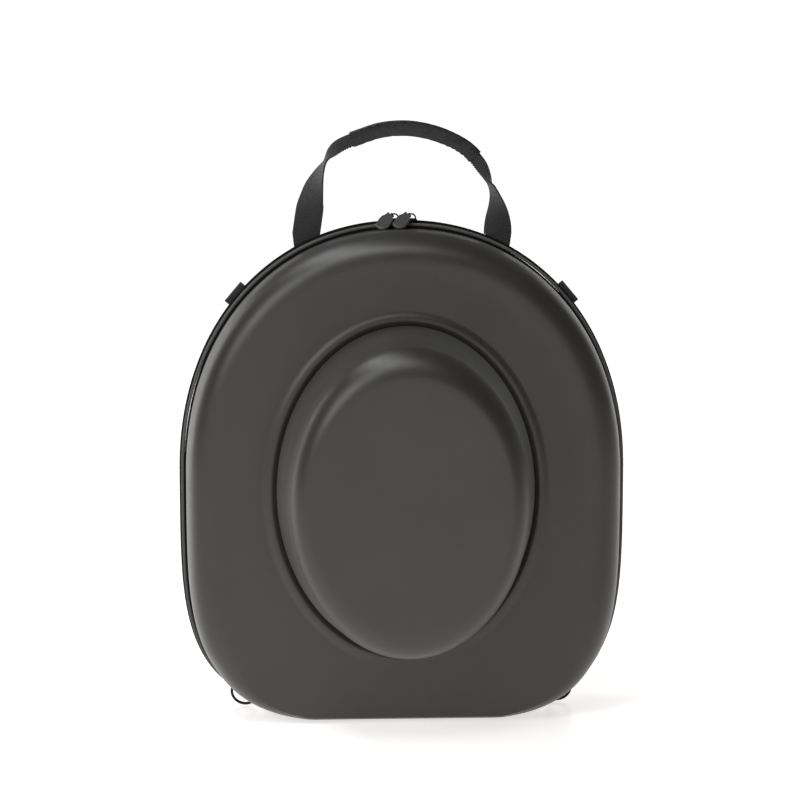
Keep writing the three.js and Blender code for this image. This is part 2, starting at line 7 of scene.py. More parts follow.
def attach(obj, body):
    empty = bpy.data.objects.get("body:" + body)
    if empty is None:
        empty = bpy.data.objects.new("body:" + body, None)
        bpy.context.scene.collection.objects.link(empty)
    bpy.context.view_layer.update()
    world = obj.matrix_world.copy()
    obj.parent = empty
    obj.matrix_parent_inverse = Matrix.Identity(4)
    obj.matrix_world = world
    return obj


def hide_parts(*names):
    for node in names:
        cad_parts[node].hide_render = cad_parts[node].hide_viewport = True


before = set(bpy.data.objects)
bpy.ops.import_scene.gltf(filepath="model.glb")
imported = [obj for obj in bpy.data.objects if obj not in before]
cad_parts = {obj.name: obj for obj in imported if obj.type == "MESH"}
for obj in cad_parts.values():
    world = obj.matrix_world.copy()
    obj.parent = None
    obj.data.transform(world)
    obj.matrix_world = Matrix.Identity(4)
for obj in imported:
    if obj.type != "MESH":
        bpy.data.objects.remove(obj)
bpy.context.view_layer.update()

# Sizes are in millimetres and turned to metres when points are placed.
mm = 0.001

# Rim outline: rounded arch above the waist, squarer foot below it
case = {
    "width": 360, "height": 398, "waist": 196, "topPower": 2.125, "footPower": 4.05, "footSink": 1.5,
    "footCurve": 1.5, "rimPlane": 50, "steps": 240,
}


def mix(a, b, share):
    return a + (b - a) * share


def smooth(low, high, value):
    share = min(1.0, max(0.0, (value - low) / (high - low)))
    return share * share * (3 - 2 * share)


def outlinePoint(angle):
    across, up = math.cos(angle), math.sin(angle)
    power = case["topPower"] if up >= 0 else case["footPower"]
    reach = case["height"] - case["waist"] if up >= 0 else case["waist"] + case["footSink"]
    total = abs(across / (case["width"] / 2)) ** power + abs(up / reach) ** power
    radius = total ** (-1 / power)
    return radius * across, max(0.0, case["waist"] + radius * up)


def outlineNormal(angle):
    step = 0.004
    before, after = outlinePoint(angle - step), outlinePoint(angle + step)
    x, z = after[1] - before[1], before[0] - after[0]
    length = math.hypot(x, z)
    return x / length, z / length


# Angle at which the right side of the outline lies at an offset from the middle, above or below the waist
def outlineAngle(offset, upper):
    low, high = (math.pi / 2 if upper else -math.pi / 2), 0.0
    for _ in range(40):
        middle = (low + high) / 2
        if outlinePoint(middle)[0] < offset:
            low = middle
        else:
            high = middle
    return low


# How much of the foot's own shape a height has: 1 on the floor, 0 above the rise
def footShare(z, rise):
    return max(0.0, 1 - z / rise) ** case["footCurve"]


# Depth is counted forwards from the seam
def inFrame(x, depth, z):
    return Vector((x, case["rimPlane"] - depth, z)) * mm


# A piece is drawn out ring by ring: a circle is added, extruded once per ring, and each new loop is
# put in place. Every point keeps its number in the loop and the number of its ring.
def drawRings(name, rings, closed=False, ends="fill"):
    bpy.ops.object.select_all(action="DESELECT")
    bpy.ops.mesh.primitive_circle_add(vertices=len(rings[0]), radius=0.01, fill_type="NOTHING")
    piece = bpy.context.object
    piece.name = name
    bpy.ops.object.mode_set(mode="EDIT")
    bpy.ops.mesh.select_all(action="SELECT")
    mesh = bmesh.from_edit_mesh(piece.data)
    place = mesh.verts.layers.int.new("place")
    mesh.verts.layers.int.new("ring")
    for step, vert in enumerate(mesh.verts):
        vert[place] = step
    bmesh.update_edit_mesh(piece.data)
    for number, ring in enumerate(rings):
        if number:
            bpy.ops.mesh.extrude_region_move()
        mesh = bmesh.from_edit_mesh(piece.data)
        mesh.verts.ensure_lookup_table()
        place = mesh.verts.layers.int["place"]
        ringNumber = mesh.verts.layers.int["ring"]
        for vert in mesh.verts[-len(ring):]:
            vert.co = ring[vert[place]]
            vert[ringNumber] = number
        bmesh.update_edit_mesh(piece.data, loop_triangles=False)
    if closed:
        bpy.ops.mesh.select_all(action="DESELECT")
        bpy.ops.mesh.select_non_manifold()
        bpy.ops.mesh.bridge_edge_loops()
    elif ends == "fill":
        bpy.ops.mesh.select_all(action="DESELECT")
        bpy.ops.mesh.select_non_manifold()
        bpy.ops.mesh.fill_holes(sides=0)
    elif ends == "point":
        bpy.ops.mesh.merge(type="CENTER")
    bpy.ops.mesh.select_all(action="SELECT")
    bpy.ops.mesh.normals_make_consistent(inside=False)
    bpy.ops.object.mode_set(mode="OBJECT")
    return piece


# Distances across and along the weave, kept on the points for the cloth materials.
def keepWeave(piece, across, along):
    data = piece.data
    place, ringNumber = data.attributes["place"].data, data.attributes["ring"].data
    weave = data.attributes.new("weave", "FLOAT_VECTOR", "POINT")
    for i in range(len(data.vertices)):
        p, r = place[i].value, ringNumber[i].value
        weave.data[i].vector = (across(r, p), along(r, p), 0)


def pick(piece):
    bpy.ops.object.select_all(action="DESELECT")
    piece.select_set(True)
    bpy.context.view_layer.objects.active = piece


def finishPiece(piece, material, angle=35, nodes=()):
    pick(piece)
    bpy.ops.object.transform_apply(location=True, rotation=True, scale=True)
    bpy.ops.object.shade_smooth_by_angle(angle=math.radians(angle))
    piece.data.materials.clear()
    piece.data.materials.append(material)
    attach(piece, "root")
    if nodes:
        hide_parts(*nodes)
    return piece


def applyModifier(piece, kind, **values):
    bpy.context.view_layer.objects.active = piece
    modifier = piece.modifiers.new(kind.title(), kind)
    for key, value in values.items():
        setattr(modifier, key, value)
    bpy.ops.object.modifier_apply(modifier=modifier.name)


# Materials

class Shades:
    def __init__(self, name, roughness, specular, sheen=0.0):
        self.material = bpy.data.materials.new(name)
        self.material.use_nodes = True
        self.nodes = self.material.node_tree.nodes
        self.links = self.material.node_tree.links
        self.surface = self.nodes["Principled BSDF"]
        self.surface.inputs["Roughness"].default_value = roughness
        self.surface.inputs["Specular IOR Level"].default_value = specular
        self.surface.inputs["Sheen Weight"].default_value = sheen
        self.surface.inputs["Sheen Roughness"].default_value = 0.5
        self.bumpTop = None

    def node(self, kind, **values):
        made = self.nodes.new(kind)
        for key, value in values.items():
            setattr(made, key, value)
        return made

    def noise(self, scale, detail):
        coords = self.node("ShaderNodeTexCoord")
        texture = self.node("ShaderNodeTexNoise")
        texture.inputs["Scale"].default_value = scale
        texture.inputs["Detail"].default_value = detail
        self.links.new(coords.outputs["Object"], texture.inputs["Vector"])
        return texture.outputs["Fac"]

    def cells(self, scale):
        coords = self.node("ShaderNodeTexCoord")
        texture = self.node("ShaderNodeTexVoronoi", feature="SMOOTH_F1")
        texture.inputs["Scale"].default_value = scale
        self.links.new(coords.outputs["Object"], texture.inputs["Vector"])
        return texture.outputs["Distance"]

    def math(self, operation, first, second=None, third=None):
        made = self.node("ShaderNodeMath", operation=operation)
        for socket, value in zip(made.inputs, (first, second, third)):
            if value is None:
                continue
            if isinstance(value, (int, float)):
                socket.default_value = value
            else:
                self.links.new(value, socket)
        return made.outputs["Value"]

    def wave(self, value, length, wander):
        return self.math("SINE", self.math("ADD", self.math("MULTIPLY", value, math.tau / length), wander))

    def spread(self, value, low, high, newLow, newHigh):
        made = self.node("ShaderNodeMapRange")
        limits = {"From Min": low, "From Max": high, "To Min": newLow, "To Max": newHigh}
        for name, number in limits.items():
            made.inputs[name].default_value = number
        self.links.new(value, made.inputs["Value"])
        return made.outputs["Result"]

    def colour(self, share, dark, light):
        made = self.node("ShaderNodeMix", data_type="RGBA")
        made.inputs["A"].default_value = (*dark, 1)
        made.inputs["B"].default_value = (*light, 1)
        self.links.new(share, made.inputs["Factor"])
        self.links.new(made.outputs["Result"], self.surface.inputs["Base Color"])

    def rough(self, share, low, high):
        self.links.new(self.spread(share, 0, 1, low, high), self.surface.inputs["Roughness"])

    def bump(self, height, strength, distance):
        made = self.node("ShaderNodeBump")
        made.inputs["Strength"].default_value = strength
        made.inputs["Distance"].default_value = distance
        self.links.new(height, made.inputs["Height"])
        if self.bumpTop:
            self.links.new(self.bumpTop, made.inputs["Normal"])
        self.bumpTop = made.outputs["Normal"]
        self.links.new(self.bumpTop, self.surface.inputs["Normal"])


# A finish from its own table: mottled colour, patchy roughness, fine grain and small cells. Noise is
# scale and detail, a bump is strength and distance.
def plainShades(name, look):
    made = Shades(name, look["roughness"], look["specular"], look.get("sheen", 0))
    share = made.noise(*look["mottle"])
    if "mottleRange" in look:
        share = made.spread(share, *look["mottleRange"], 0, 1)
    made.colour(share, look["dark"], look["light"])
    if "patches" in look:
        made.rough(made.noise(*look["patches"]), *look["patchRoughness"])
    if "grain" in look:
        made.bump(made.noise(*look["grain"]), *look["grainBump"])
    if "cells" in look:
        made.bump(made.cells(look["cells"]), *look["cellBump"])
    return made.material


# Woven cloth: ribs across the weave and threads along it, from the distances kept on the points
weaveLook = {
    "wander": (300, 2), "wanderReach": 0.7, "ribShare": 0.5, "height": 0.3, "bump": 0.8,
    "fuzz": (2500, 2), "fuzzBump": (0.25, 0.0001), "wear": (60, 3), "wearShare": 0.4,
}


def wovenShades(name, look):
    cloth = Shades(name, look["roughness"], look["specular"], look["sheen"])
    weave = cloth.node("ShaderNodeAttribute", attribute_name="weave")
    parts = cloth.node("ShaderNodeSeparateXYZ")
    cloth.links.new(weave.outputs["Vector"], parts.inputs["Vector"])
    wander = cloth.math("MULTIPLY", cloth.noise(*weaveLook["wander"]), weaveLook["wanderReach"])
    ribs = cloth.wave(parts.outputs["Y"], look["rib"], wander)
    threads = cloth.wave(parts.outputs["X"], look["thread"], wander)
    crossing = cloth.math("MULTIPLY", ribs, threads)
    raised = cloth.math("ADD", crossing, cloth.math("MULTIPLY", ribs, weaveLook["ribShare"]))
    height = cloth.math("MULTIPLY_ADD", raised, weaveLook["height"], 0.5)
    cloth.bump(height, weaveLook["bump"], look["depth"])
    cloth.bump(cloth.noise(*weaveLook["fuzz"]), *weaveLook["fuzzBump"])
    # Colour: lighter on raised threads and darker low in the weave, painted shade between the threads, mixed
    # with random worn tone
    raisedShare = cloth.math("MULTIPLY", height, 1 - weaveLook["wearShare"])
    wornShare = cloth.math("MULTIPLY", cloth.noise(*weaveLook["wear"]), weaveLook["wearShare"])
    cloth.colour(cloth.math("ADD", raisedShare, wornShare), look["dark"], look["light"])
    return cloth.material


# Cloth skin bonded to moulded foam: faint mottling, fine grain, soft sheen
mouldedSkin = plainShades("mouldedSkin", {
    "roughness": 0.4, "specular": 0.58, "sheen": 0.1, "mottle": (14, 4), "mottleRange": (0.3, 0.7),
    "dark": (0.0185, 0.0169, 0.0158), "light": (0.0235, 0.0216, 0.0202),
    "patches": (90, 4), "patchRoughness": (0.36, 0.46),
    "grain": (1500, 2), "grainBump": (0.18, 0.0002), "cells": 900, "cellBump": (0.12, 0.0002),
})
webbingCloth = wovenShades("webbingCloth", {
    "rib": 0.0016, "thread": 0.0021, "depth": 0.0008, "roughness": 0.7, "specular": 0.3, "sheen": 0.2,
    "dark": (0.008, 0.0076, 0.0076), "light": (0.034, 0.0325, 0.032),
})
# Front binding cloth, painted lighter grey: painted light for the light the front binding catches
paintedLitBinding = wovenShades("paintedLitBinding", {
    "rib": 0.0008, "thread": 0.0011, "depth": 0.00015, "roughness": 0.7, "specular": 0.3, "sheen": 0.2,
    "dark": (0.05, 0.049, 0.047), "light": (0.1, 0.098, 0.095),
})
# Near-black cloth, painted shade: the back binding's shaded copy of the binding cloth, and the shade deep in
# the slot
paintedShadeTape = wovenShades("paintedShadeTape", {
    "rib": 0.0008, "thread": 0.0011, "depth": 0.00012, "roughness": 0.9, "specular": 0.08, "sheen": 0,
    "dark": (0.004, 0.004, 0.004), "light": (0.009, 0.0088, 0.0088),
})
gripSkin = plainShades("gripSkin", {
    "roughness": 0.36, "specular": 0.4, "mottle": (120, 4),
    "dark": (0.004, 0.004, 0.0041), "light": (0.010, 0.010, 0.0103),
    "patches": (200, 3), "patchRoughness": (0.26, 0.44),
    "grain": (170, 3), "grainBump": (0.55, 0.0012), "cells": 1400, "cellBump": (0.3, 0.0002),
})
blackMetal = plainShades("blackMetal", {
    "roughness": 0.4, "specular": 0.2, "mottle": (80, 3),
    "dark": (0.004, 0.004, 0.0042), "light": (0.009, 0.009, 0.0093),
    "patches": (400, 3), "patchRoughness": (0.34, 0.5), "grain": (700, 2), "grainBump": (0.05, 0.0001),
})
pullRubber = plainShades("pullRubber", {
    "roughness": 0.36, "specular": 0.5, "mottle": (260, 4),
    "dark": (0.045, 0.045, 0.046), "light": (0.085, 0.085, 0.086),
    "grain": (1200, 3), "grainBump": (0.4, 0.0003),
})
zipNylon = plainShades("zipNylon", {
    "roughness": 0.5, "specular": 0.12, "mottle": (300, 3),
    "dark": (0.006, 0.006, 0.006), "light": (0.015, 0.015, 0.015),
    "patches": (300, 3), "patchRoughness": (0.42, 0.6),
})
print("materials made")


# Shells: depths are counted from the seam, insets from the outline
shell = {
    "wall": 3, "inset": 4.2, "mouth": 1.5, "footRecess": 1.2,
    "slot": 2.3, "slotStart": 2.9, "slotEnd": 10.8, "lip": 12, "lipDraft": 1.6,
    "roundDepth": 54.4, "roundInset": 34, "roundPower": 2.7, "roundRows": 26,
    "footRound": 4.5, "footRoundEnd": 25.5, "frontFootRise": 38, "brim": 56, "brimRows": 12,
    "rebate": 7.3, "rebateRound": 0.7, "rebateInset": 0.05, "rebateStep": 1.8, "wallStep": 0.3, "draft": 4,
    "wallRows": 5, "back": 38, "edgeDepth": 9, "edgeWidth": 11, "edgeRows": 12, "backFootRise": 12,
    "backShares": (0.15, 0.35, 0.55, 0.75, 0.92),
}
crown = {
    "width": 204, "height": 262, "centre": 188, "depth": 138, "draft": 9, "dome": 1,
    "shoulder": 26, "shoulderX": 16, "shoulderZ": 26, "shoulderRows": 16,
    "ridgeWidth": 13, "ridgeHeight": 2, "ridgeRows": 15,
    "sideShares": (0.015, 0.05, 0.2, 0.4, 0.6, 0.8, 1), "topShares": (0.12, 0.3, 0.5, 0.7, 0.88, 0.97),
}
# Ridge round the crown: place as a share of its width from the crease, height as a share of its rise
ridgeShape = (
    (1, 0), (0.87, 0.02), (0.72, 0.36), (0.55, 0.85), (0.38, 1), (0.24, 0.86), (0.11, 0.3), (0, -0.35),
)
# Slot beside the front binding: depth past its start or end, inset short of the slot's, and inset on the
# foot past the recess
slotStartShape = ((0.3, 0.5, 1.2), (0.8, 0, 1.5), (4.1, 0, 1.3))
slotEndShape = ((-0.8, 0, 0.2), (0, 0.2, -0.8), (0.6, 0.5, -3.2), (1, 0.66, -4.8))

# Side wall of the back shell, and how much it draws in per millimetre
wallStart = shell["rebate"] + shell["rebateStep"]
wallEnd = shell["back"] - shell["edgeDepth"]
wallSlope = (shell["draft"] - shell["wallStep"]) / (wallEnd - wallStart)


def crownPoint(angle, growX, growZ):
    across = math.cos(angle) / (crown["width"] / 2 + growX)
    up = math.sin(angle) / (crown["height"] / 2 + growZ)
    radius = 1 / math.hypot(across, up)
    return radius * math.cos(angle), crown["centre"] + radius * math.sin(angle)


def shellPoint(angle, row):
    x, z = outlinePoint(angle)
    nx, nz = outlineNormal(angle)
    inset = mix(row["inset"], row["foot"], footShare(z, row["footRise"]))
    x, z = x - nx * inset, z - nz * inset
    blend = row.get("blend", 0)
    if blend:
        ovalX, ovalZ = crownPoint(angle, row["growX"], row["growZ"])
        x, z = mix(x, ovalX, blend), mix(z, ovalZ, blend)
    return inFrame(x, row["depth"], z)


def shellRing(row):
    return [shellPoint((i + 0.5) / case["steps"] * math.tau, row) for i in range(case["steps"])]


# Smooth curve between the middle two of four values in a row
def between(a, b, c, d, t):
    square, cube = 2 * a - 5 * b + 4 * c - d, 3 * b - a - 3 * c + d
    return 0.5 * (2 * b + (c - a) * t + square * t * t + cube * t ** 3)


# A smooth line through the rows of a table, at a place counted in rows
def through(table, place):
    i = min(len(table) - 2, max(0, int(place)))
    rows = [table[min(len(table) - 1, max(0, i + k))] for k in (-1, 0, 1, 2)]
    return [between(*column, place - i) for column in zip(*rows)]


# Each row of a wall is depth, inset and inset on the foot
def frontWall():
    inset, recess = shell["inset"], shell["inset"] + shell["footRecess"]
    slot = inset + shell["slot"]
    rows = [(shell["mouth"], inset, recess), (shell["slotStart"], inset, recess)]
    for end, shape in (("slotStart", slotStartShape), ("slotEnd", slotEndShape)):
        rows += [(shell[end] + past, slot - short, recess + foot) for past, short, foot in shape]
    return rows


# The front turns from its wall to its face in one soft round
def frontRound():
    rows = []
    start = shell["inset"] + shell["lipDraft"]
    power = 2 / shell["roundPower"]
    for i in range(shell["roundRows"] + 1):
        turn = i / shell["roundRows"] * math.pi / 2
        inset = mix(shell["roundInset"], start, math.cos(turn) ** power)
        foot = shell["footRound"] * smooth(start, shell["footRoundEnd"], inset)
        rows.append((mix(shell["lip"], shell["roundDepth"], math.sin(turn) ** power), inset, foot))
    return rows


def backWall():
    inset, recess = shell["inset"], shell["inset"] + shell["footRecess"]
    middle = mix(shell["mouth"], shell["rebate"], 0.5)
    rows = [(depth, inset, recess) for depth in (shell["mouth"], middle, shell["rebate"])]
    rows.append((shell["rebate"] + shell["rebateRound"], inset + shell["rebateInset"], recess / 2))
    for i in range(shell["wallRows"] + 1):
        share = i / shell["wallRows"]
        drawn = mix(shell["wallStep"], shell["draft"], share)
        rows.append((mix(wallStart, wallEnd, share), inset + drawn, 0))
    return rows


def backEdge():
    rows = []
    depth, inset, _ = backWall()[-1]
    for i in range(1, shell["edgeRows"] + 1):
        turn = i / shell["edgeRows"] * math.pi / 2
        drawn = shell["edgeWidth"] * (1 - math.cos(turn))
        rows.append((depth + shell["edgeDepth"] * math.sin(turn), inset + drawn, drawn))
    return rows


def inRows(places, side, footRise):
    return [
        {"depth": side * depth, "inset": inset, "foot": foot, "footRise": footRise}
        for depth, inset, foot in places
    ]


# A row that has turned from the rim's outline towards the crown's oval
def crownRow(edge, depth, growX, growZ, blend=1):
    return {**edge, "depth": depth, "growX": growX, "growZ": growZ, "blend": blend}


def frontRows():
    rows = inRows(frontWall() + frontRound(), 1, shell["frontFootRise"])
    edge = rows[-1]
    wide = crown["ridgeWidth"]
    for i in range(1, shell["brimRows"] + 1):
        blend = i / shell["brimRows"]
        rows.append(crownRow(edge, mix(edge["depth"], shell["brim"], smooth(0, 1, blend)), wide, wide, blend))
    for i in range(1, crown["ridgeRows"] + 1):
        out, lift = through(ridgeShape, i / crown["ridgeRows"] * (len(ridgeShape) - 1))
        rows.append(crownRow(edge, shell["brim"] + lift * crown["ridgeHeight"], out * wide, out * wide))
    shoulderStart = crown["depth"] - crown["shoulder"]
    for share in crown["sideShares"]:
        grow = -crown["draft"] * share
        rows.append(crownRow(edge, mix(shell["brim"], shoulderStart, share), grow, grow))
    for i in range(1, crown["shoulderRows"] + 1):
        turn = i / crown["shoulderRows"] * math.pi / 2
        depth = shoulderStart + (crown["shoulder"] - crown["dome"]) * math.sin(turn)
        growX = -crown["draft"] - crown["shoulderX"] * (1 - math.cos(turn))
        growZ = -crown["draft"] - crown["shoulderZ"] * (1 - math.cos(turn))
        rows.append(crownRow(edge, depth, growX, growZ))
    for share in crown["topShares"]:
        depth = crown["depth"] - crown["dome"] * (1 - share) ** 2
        topX = mix(growX, -crown["width"] / 2, share)
        topZ = mix(growZ, -crown["height"] / 2, share)
        rows.append(crownRow(edge, depth, topX, topZ))
    return rows


def backRows():
    rows = inRows(backWall() + backEdge(), -1, shell["backFootRise"])
    edge = rows[-1]
    for blend in shell["backShares"]:
        growX, growZ = -crown["width"] / 2 * blend, -crown["height"] / 2 * blend
        rows.append(crownRow(edge, edge["depth"], growX, growZ, blend))
    return rows


def makeShell(name, rows, node):
    piece = drawRings(name, [shellRing(row) for row in rows], ends="point")
    applyModifier(piece, "SOLIDIFY", thickness=shell["wall"] * mm, offset=-1, use_even_offset=True)
    return finishPiece(piece, mouldedSkin, 40, [node])


makeShell("frontShell", frontRows(), "front_shell")
makeShell("backShell", backRows(), "back_shell")
print("shells made")


# Bindings: folded cloth with a soft outer face, one on each lip. The front one stands lower than the rim.
# The front binding's cloth is painted lighter for the light it catches, the back one's near-black for its
# shade
binding = {
    "width": 5.5, "height": 3.9, "footRise": 12, "frontDrop": 1.7, "frontCorner": 1.0, "backCorner": 0.4,
}


# Places along the rim's depth and down from the outline
def bindingSection(drop, corner):
    wide, high, steps = binding["width"], binding["height"], 5
    points = [(0, high), (0, mix(drop, high, 0.6)), (0, drop + corner * 0.5)]
    points += [(corner * 0.3, drop + 0.12), (wide * 0.3, drop), (wide * 0.6, drop)]
    for i in range(steps + 1):
        turn = i / steps * math.pi / 2
        points.append((wide - corner * (1 - math.sin(turn)), drop + corner * (1 - math.cos(turn))))
    points += [(wide, mix(drop, high, 0.6)), (wide - 0.1, mix(drop, high, 0.88))]
    points += [(wide - 0.5, high), (wide * 0.5, high)]
    return points


def rimLength(steps):
    points = [outlinePoint((i + 0.5) / steps * math.tau) for i in range(steps)]
    lengths = [0.0]
    for a, b in zip(points, points[1:]):
        lengths.append(lengths[-1] + math.dist(a, b))
    return lengths


alongRim = rimLength(case["steps"])


# A band has its section at each step round the rim, and is joined to its own start.
def makeBand(name, section, side, slotName, material, *nodes):
    rings = []
    for i in range(case["steps"]):
        angle = (i + 0.5) / case["steps"] * math.tau - math.pi / 2
        ring = []
        for along, down in section:
            row = {"inset": down, "foot": down + shell["footRecess"], "footRise": binding["footRise"],
                   "depth": side * (shell["mouth"] + along)}
            ring.append(shellPoint(angle, row))
        rings.append(ring)
    piece = drawRings(name, rings, closed=True)
    reach = [0.0]
    for a, b in zip(section, section[1:]):
        reach.append(reach[-1] + math.dist(a, b))
    keepWeave(piece, lambda r, p: reach[p] * mm, lambda r, p: alongRim[r] * mm)
    return finishPiece(piece, material, 40, nodes)


# Front binding in the lighter cloth, painted light
frontSection = bindingSection(binding["frontDrop"], binding["frontCorner"])
makeBand("frontBinding", frontSection, 1, "binding_cloth", paintedLitBinding, "front_binding")
# Back binding in the near-black cloth, painted shade
backSection = bindingSection(0, binding["backCorner"])
makeBand("backBinding", backSection, -1, "black_tape", paintedShadeTape, "back_binding")

# Painted shade: a near-black band deep in the slot beside the front binding, standing for the shade in the
# groove
slotShade = {"start": 4.7, "end": 5.3, "outer": 4.2, "inner": 6.3}
slotShadeSection = [
    (slotShade["start"], slotShade["inner"]), (slotShade["start"], slotShade["outer"]),
    (slotShade["end"], slotShade["outer"]), (slotShade["end"], slotShade["inner"]),
]
makeBand("slotPaintedShade", slotShadeSection, 1, "black_tape", paintedShadeTape)
print("bindings made")


# A place on the rim: x along it, y backwards, z out of it. Height is above the outline, and depth is
# behind the seam.
def rimMatrix(angle, height, depth):
    x, z = outlinePoint(angle)
    nx, nz = outlineNormal(angle)
    height -= shell["footRecess"] * footShare(z, binding["footRise"]) if height < 0 else 0
    point = Vector((x + nx * height, case["rimPlane"] + depth, z + nz * height)) * mm
    out = Vector((nx, 0, nz))
    back = Vector((0, 1, 0))
    turned = Matrix((back.cross(out), back, out)).transposed().to_4x4()
    return Matrix.Translation(point) @ turned


# Zip: a low bed with teeth lying across it all round the rim, each a little to one side in turn
zipper = {
    "width": 2.4, "top": 0.8, "height": 2, "bedDrop": 0.5, "bedEdge": 0.2, "bedCorner": 0.3,
    "pitch": 1.9, "tooth": (1.5, 1.1, 1.0), "toothBevel": 0.3, "toothDrop": 0.55, "stagger": 0.35,
}


def zipBed():
    half, top = zipper["width"] / 2, zipper["top"] + zipper["bedDrop"]
    low, edge, corner = zipper["top"] + zipper["height"], top + zipper["bedEdge"], half - zipper["bedCorner"]
    points = [(-half, low), (-half, edge), (-corner, top), (corner, top), (half, edge), (half, low)]
    return [(along - shell["mouth"], down) for along, down in points]


def makeTooth():
    bpy.ops.mesh.primitive_cube_add(size=1)
    tooth = bpy.context.object
    tooth.name = "zipTooth"
    tooth.scale = [value * mm for value in zipper["tooth"]]
    bpy.ops.object.transform_apply(location=True, rotation=True, scale=True)
    applyModifier(tooth, "BEVEL", width=zipper["toothBevel"] * mm, segments=1, limit_method="NONE")
    return tooth


def makeZip():
    bed = makeBand("zipBed", zipBed(), 1, "zip_nylon", zipNylon)
    tooth = makeTooth()
    teeth = bmesh.new()
    count = int(alongRim[-1] / zipper["pitch"])
    place = 0
    for i in range(count):
        want = (i + 0.5) / count * alongRim[-1]
        while place < len(alongRim) - 2 and alongRim[place + 1] < want:
            place += 1
        share = (want - alongRim[place]) / (alongRim[place + 1] - alongRim[place])
        angle = (place + share + 0.5) / case["steps"] * math.tau - math.pi / 2
        aside = zipper["stagger"] if i % 2 else -zipper["stagger"]
        matrix = rimMatrix(angle, -zipper["top"] - zipper["toothDrop"], aside)
        base = len(teeth.verts)
        teeth.from_mesh(tooth.data)
        teeth.verts.ensure_lookup_table()
        for vert in teeth.verts[base:]:
            vert.co = matrix @ vert.co
    teeth.to_mesh(tooth.data)
    teeth.free()
    pick(bed)
    tooth.select_set(True)
    bpy.ops.object.join()
    bed.name = "zipCoil"
    return finishPiece(bed, zipNylon, 40, ["zip_coil"])


makeZip()
print("zip made")


# Webbing handle
handle = {
    "width": 21, "thickness": 1.5, "spine": 2.4, "halfSpan": 77, "rise": 96, "gap": 0.3,
    "foot": 16, "footRows": 5, "bend": 4, "bendRows": 8, "foldBend": 1.6, "lineSteps": 60, "halfSteps": 10,
    "rings": 480, "frill": 0.42, "frillRings": 4, "frillStart": 0.8,
}
# From the left foot to the right: x, z, turn from broad side (1 or -1) to edge forwards (0), fold
handleShape = (
    (-1, 0.05, 1, 0), (-0.965, 0.24, 0.92, 0), (-0.942, 0.35, 0.64, 0), (-0.91, 0.46, 0.42, 0),
    (-0.855, 0.575, 0.17, 0), (-0.79, 0.675, 0, 0.12), (-0.72, 0.742, 0, 0.6), (-0.62, 0.8, 0, 1),
    (-0.43, 0.86, 0, 1), (-0.2, 0.916, 0, 1), (0.06, 0.928, 0, 1), (0.3, 0.895, 0, 1),
    (0.5, 0.836, 0, 1), (0.67, 0.757, 0, 1), (0.79, 0.655, 0, 1), (0.88, 0.54, 0, 0.45),
    (0.935, 0.45, -0.08, 0), (0.972, 0.37, -0.18, 0), (0.995, 0.27, -0.4, 0), (1, 0.17, -0.68, 0),
    (1, 0.05, -1, 0),
)
legAngle = outlineAngle(handle["halfSpan"], True)
legX, legZ = outlinePoint(legAngle)
legDepth = shell["rebate"] + handle["thickness"] / 2


def handlePoint(place):
    x, z, turn, fold = through(handleShape, place)
    point = Vector((x * handle["halfSpan"], case["rimPlane"] + legDepth, legZ + z * handle["rise"]))
    return point, turn, fold


def handleFrame(place):
    last = len(handleShape) - 1
    point = handlePoint(place)[0]
    along = handlePoint(min(last, place + 0.02))[0] - handlePoint(max(0, place - 0.02))[0]
    back = Vector((0, 1, 0))
    out = along.normalized().cross(back).normalized()
    return point, out, back


# Middle line of the webbing, from one edge to the other: places across it, with the way it faces
def webbingLine(fold):
    half, side = handle["width"] / 2, handle["spine"] / 2
    lean = max(0, min(1, fold)) * math.pi / 2
    count, steps, bend = handle["lineSteps"], handle["halfSteps"], handle["foldBend"]
    points = [(0.0, 0.0, 0.0)]
    u = v = 0.0
    for i in range(count):
        s = (i + 0.5) / count * half
        turned = lean * smooth(side - bend * 0.4, side + bend * 0.6, s)
        u += math.cos(turned) * half / count
        v -= math.sin(turned) * half / count
        points.append((u, v, turned))
    picked = [points[round(i / steps * count)] for i in range(steps + 1)]
    lift = (half - side) / 2 * math.sin(lean)
    right = [(u, v + lift, turned) for u, v, turned in picked]
    return [(-u, v, -turned) for u, v, turned in reversed(right[1:])] + right


def webbingRing(frameAt, turn, fold, frill=0.0):
    point, out, back = frameAt
    half = handle["thickness"] / 2
    line = webbingLine(fold)
    for end in (0, -1):
        u, v, a = line[end]
        line[end] = (u + math.copysign(frill, u) * math.cos(a), v - frill * abs(math.sin(a)), a)
    plan = [(u + math.sin(a) * half, v + math.cos(a) * half) for u, v, a in line]
    u, v, a = line[-1]
    plan.append((u + math.cos(a) * half * 0.5, v - math.sin(a) * half * 0.5))
    plan += [(u - math.sin(a) * half, v - math.cos(a) * half) for u, v, a in reversed(line)]
    u, v, a = line[0]
    plan.append((u - math.cos(a) * half * 0.5, v + math.sin(a) * half * 0.5))
    spin = turn * math.pi / 2
    placed = []
    for u, v in plan:
        backwards, outwards = u * math.cos(spin) - v * math.sin(spin), u * math.sin(spin) + v * math.cos(spin)
        placed.append((point + back * backwards + out * outwards) * mm)
    return placed


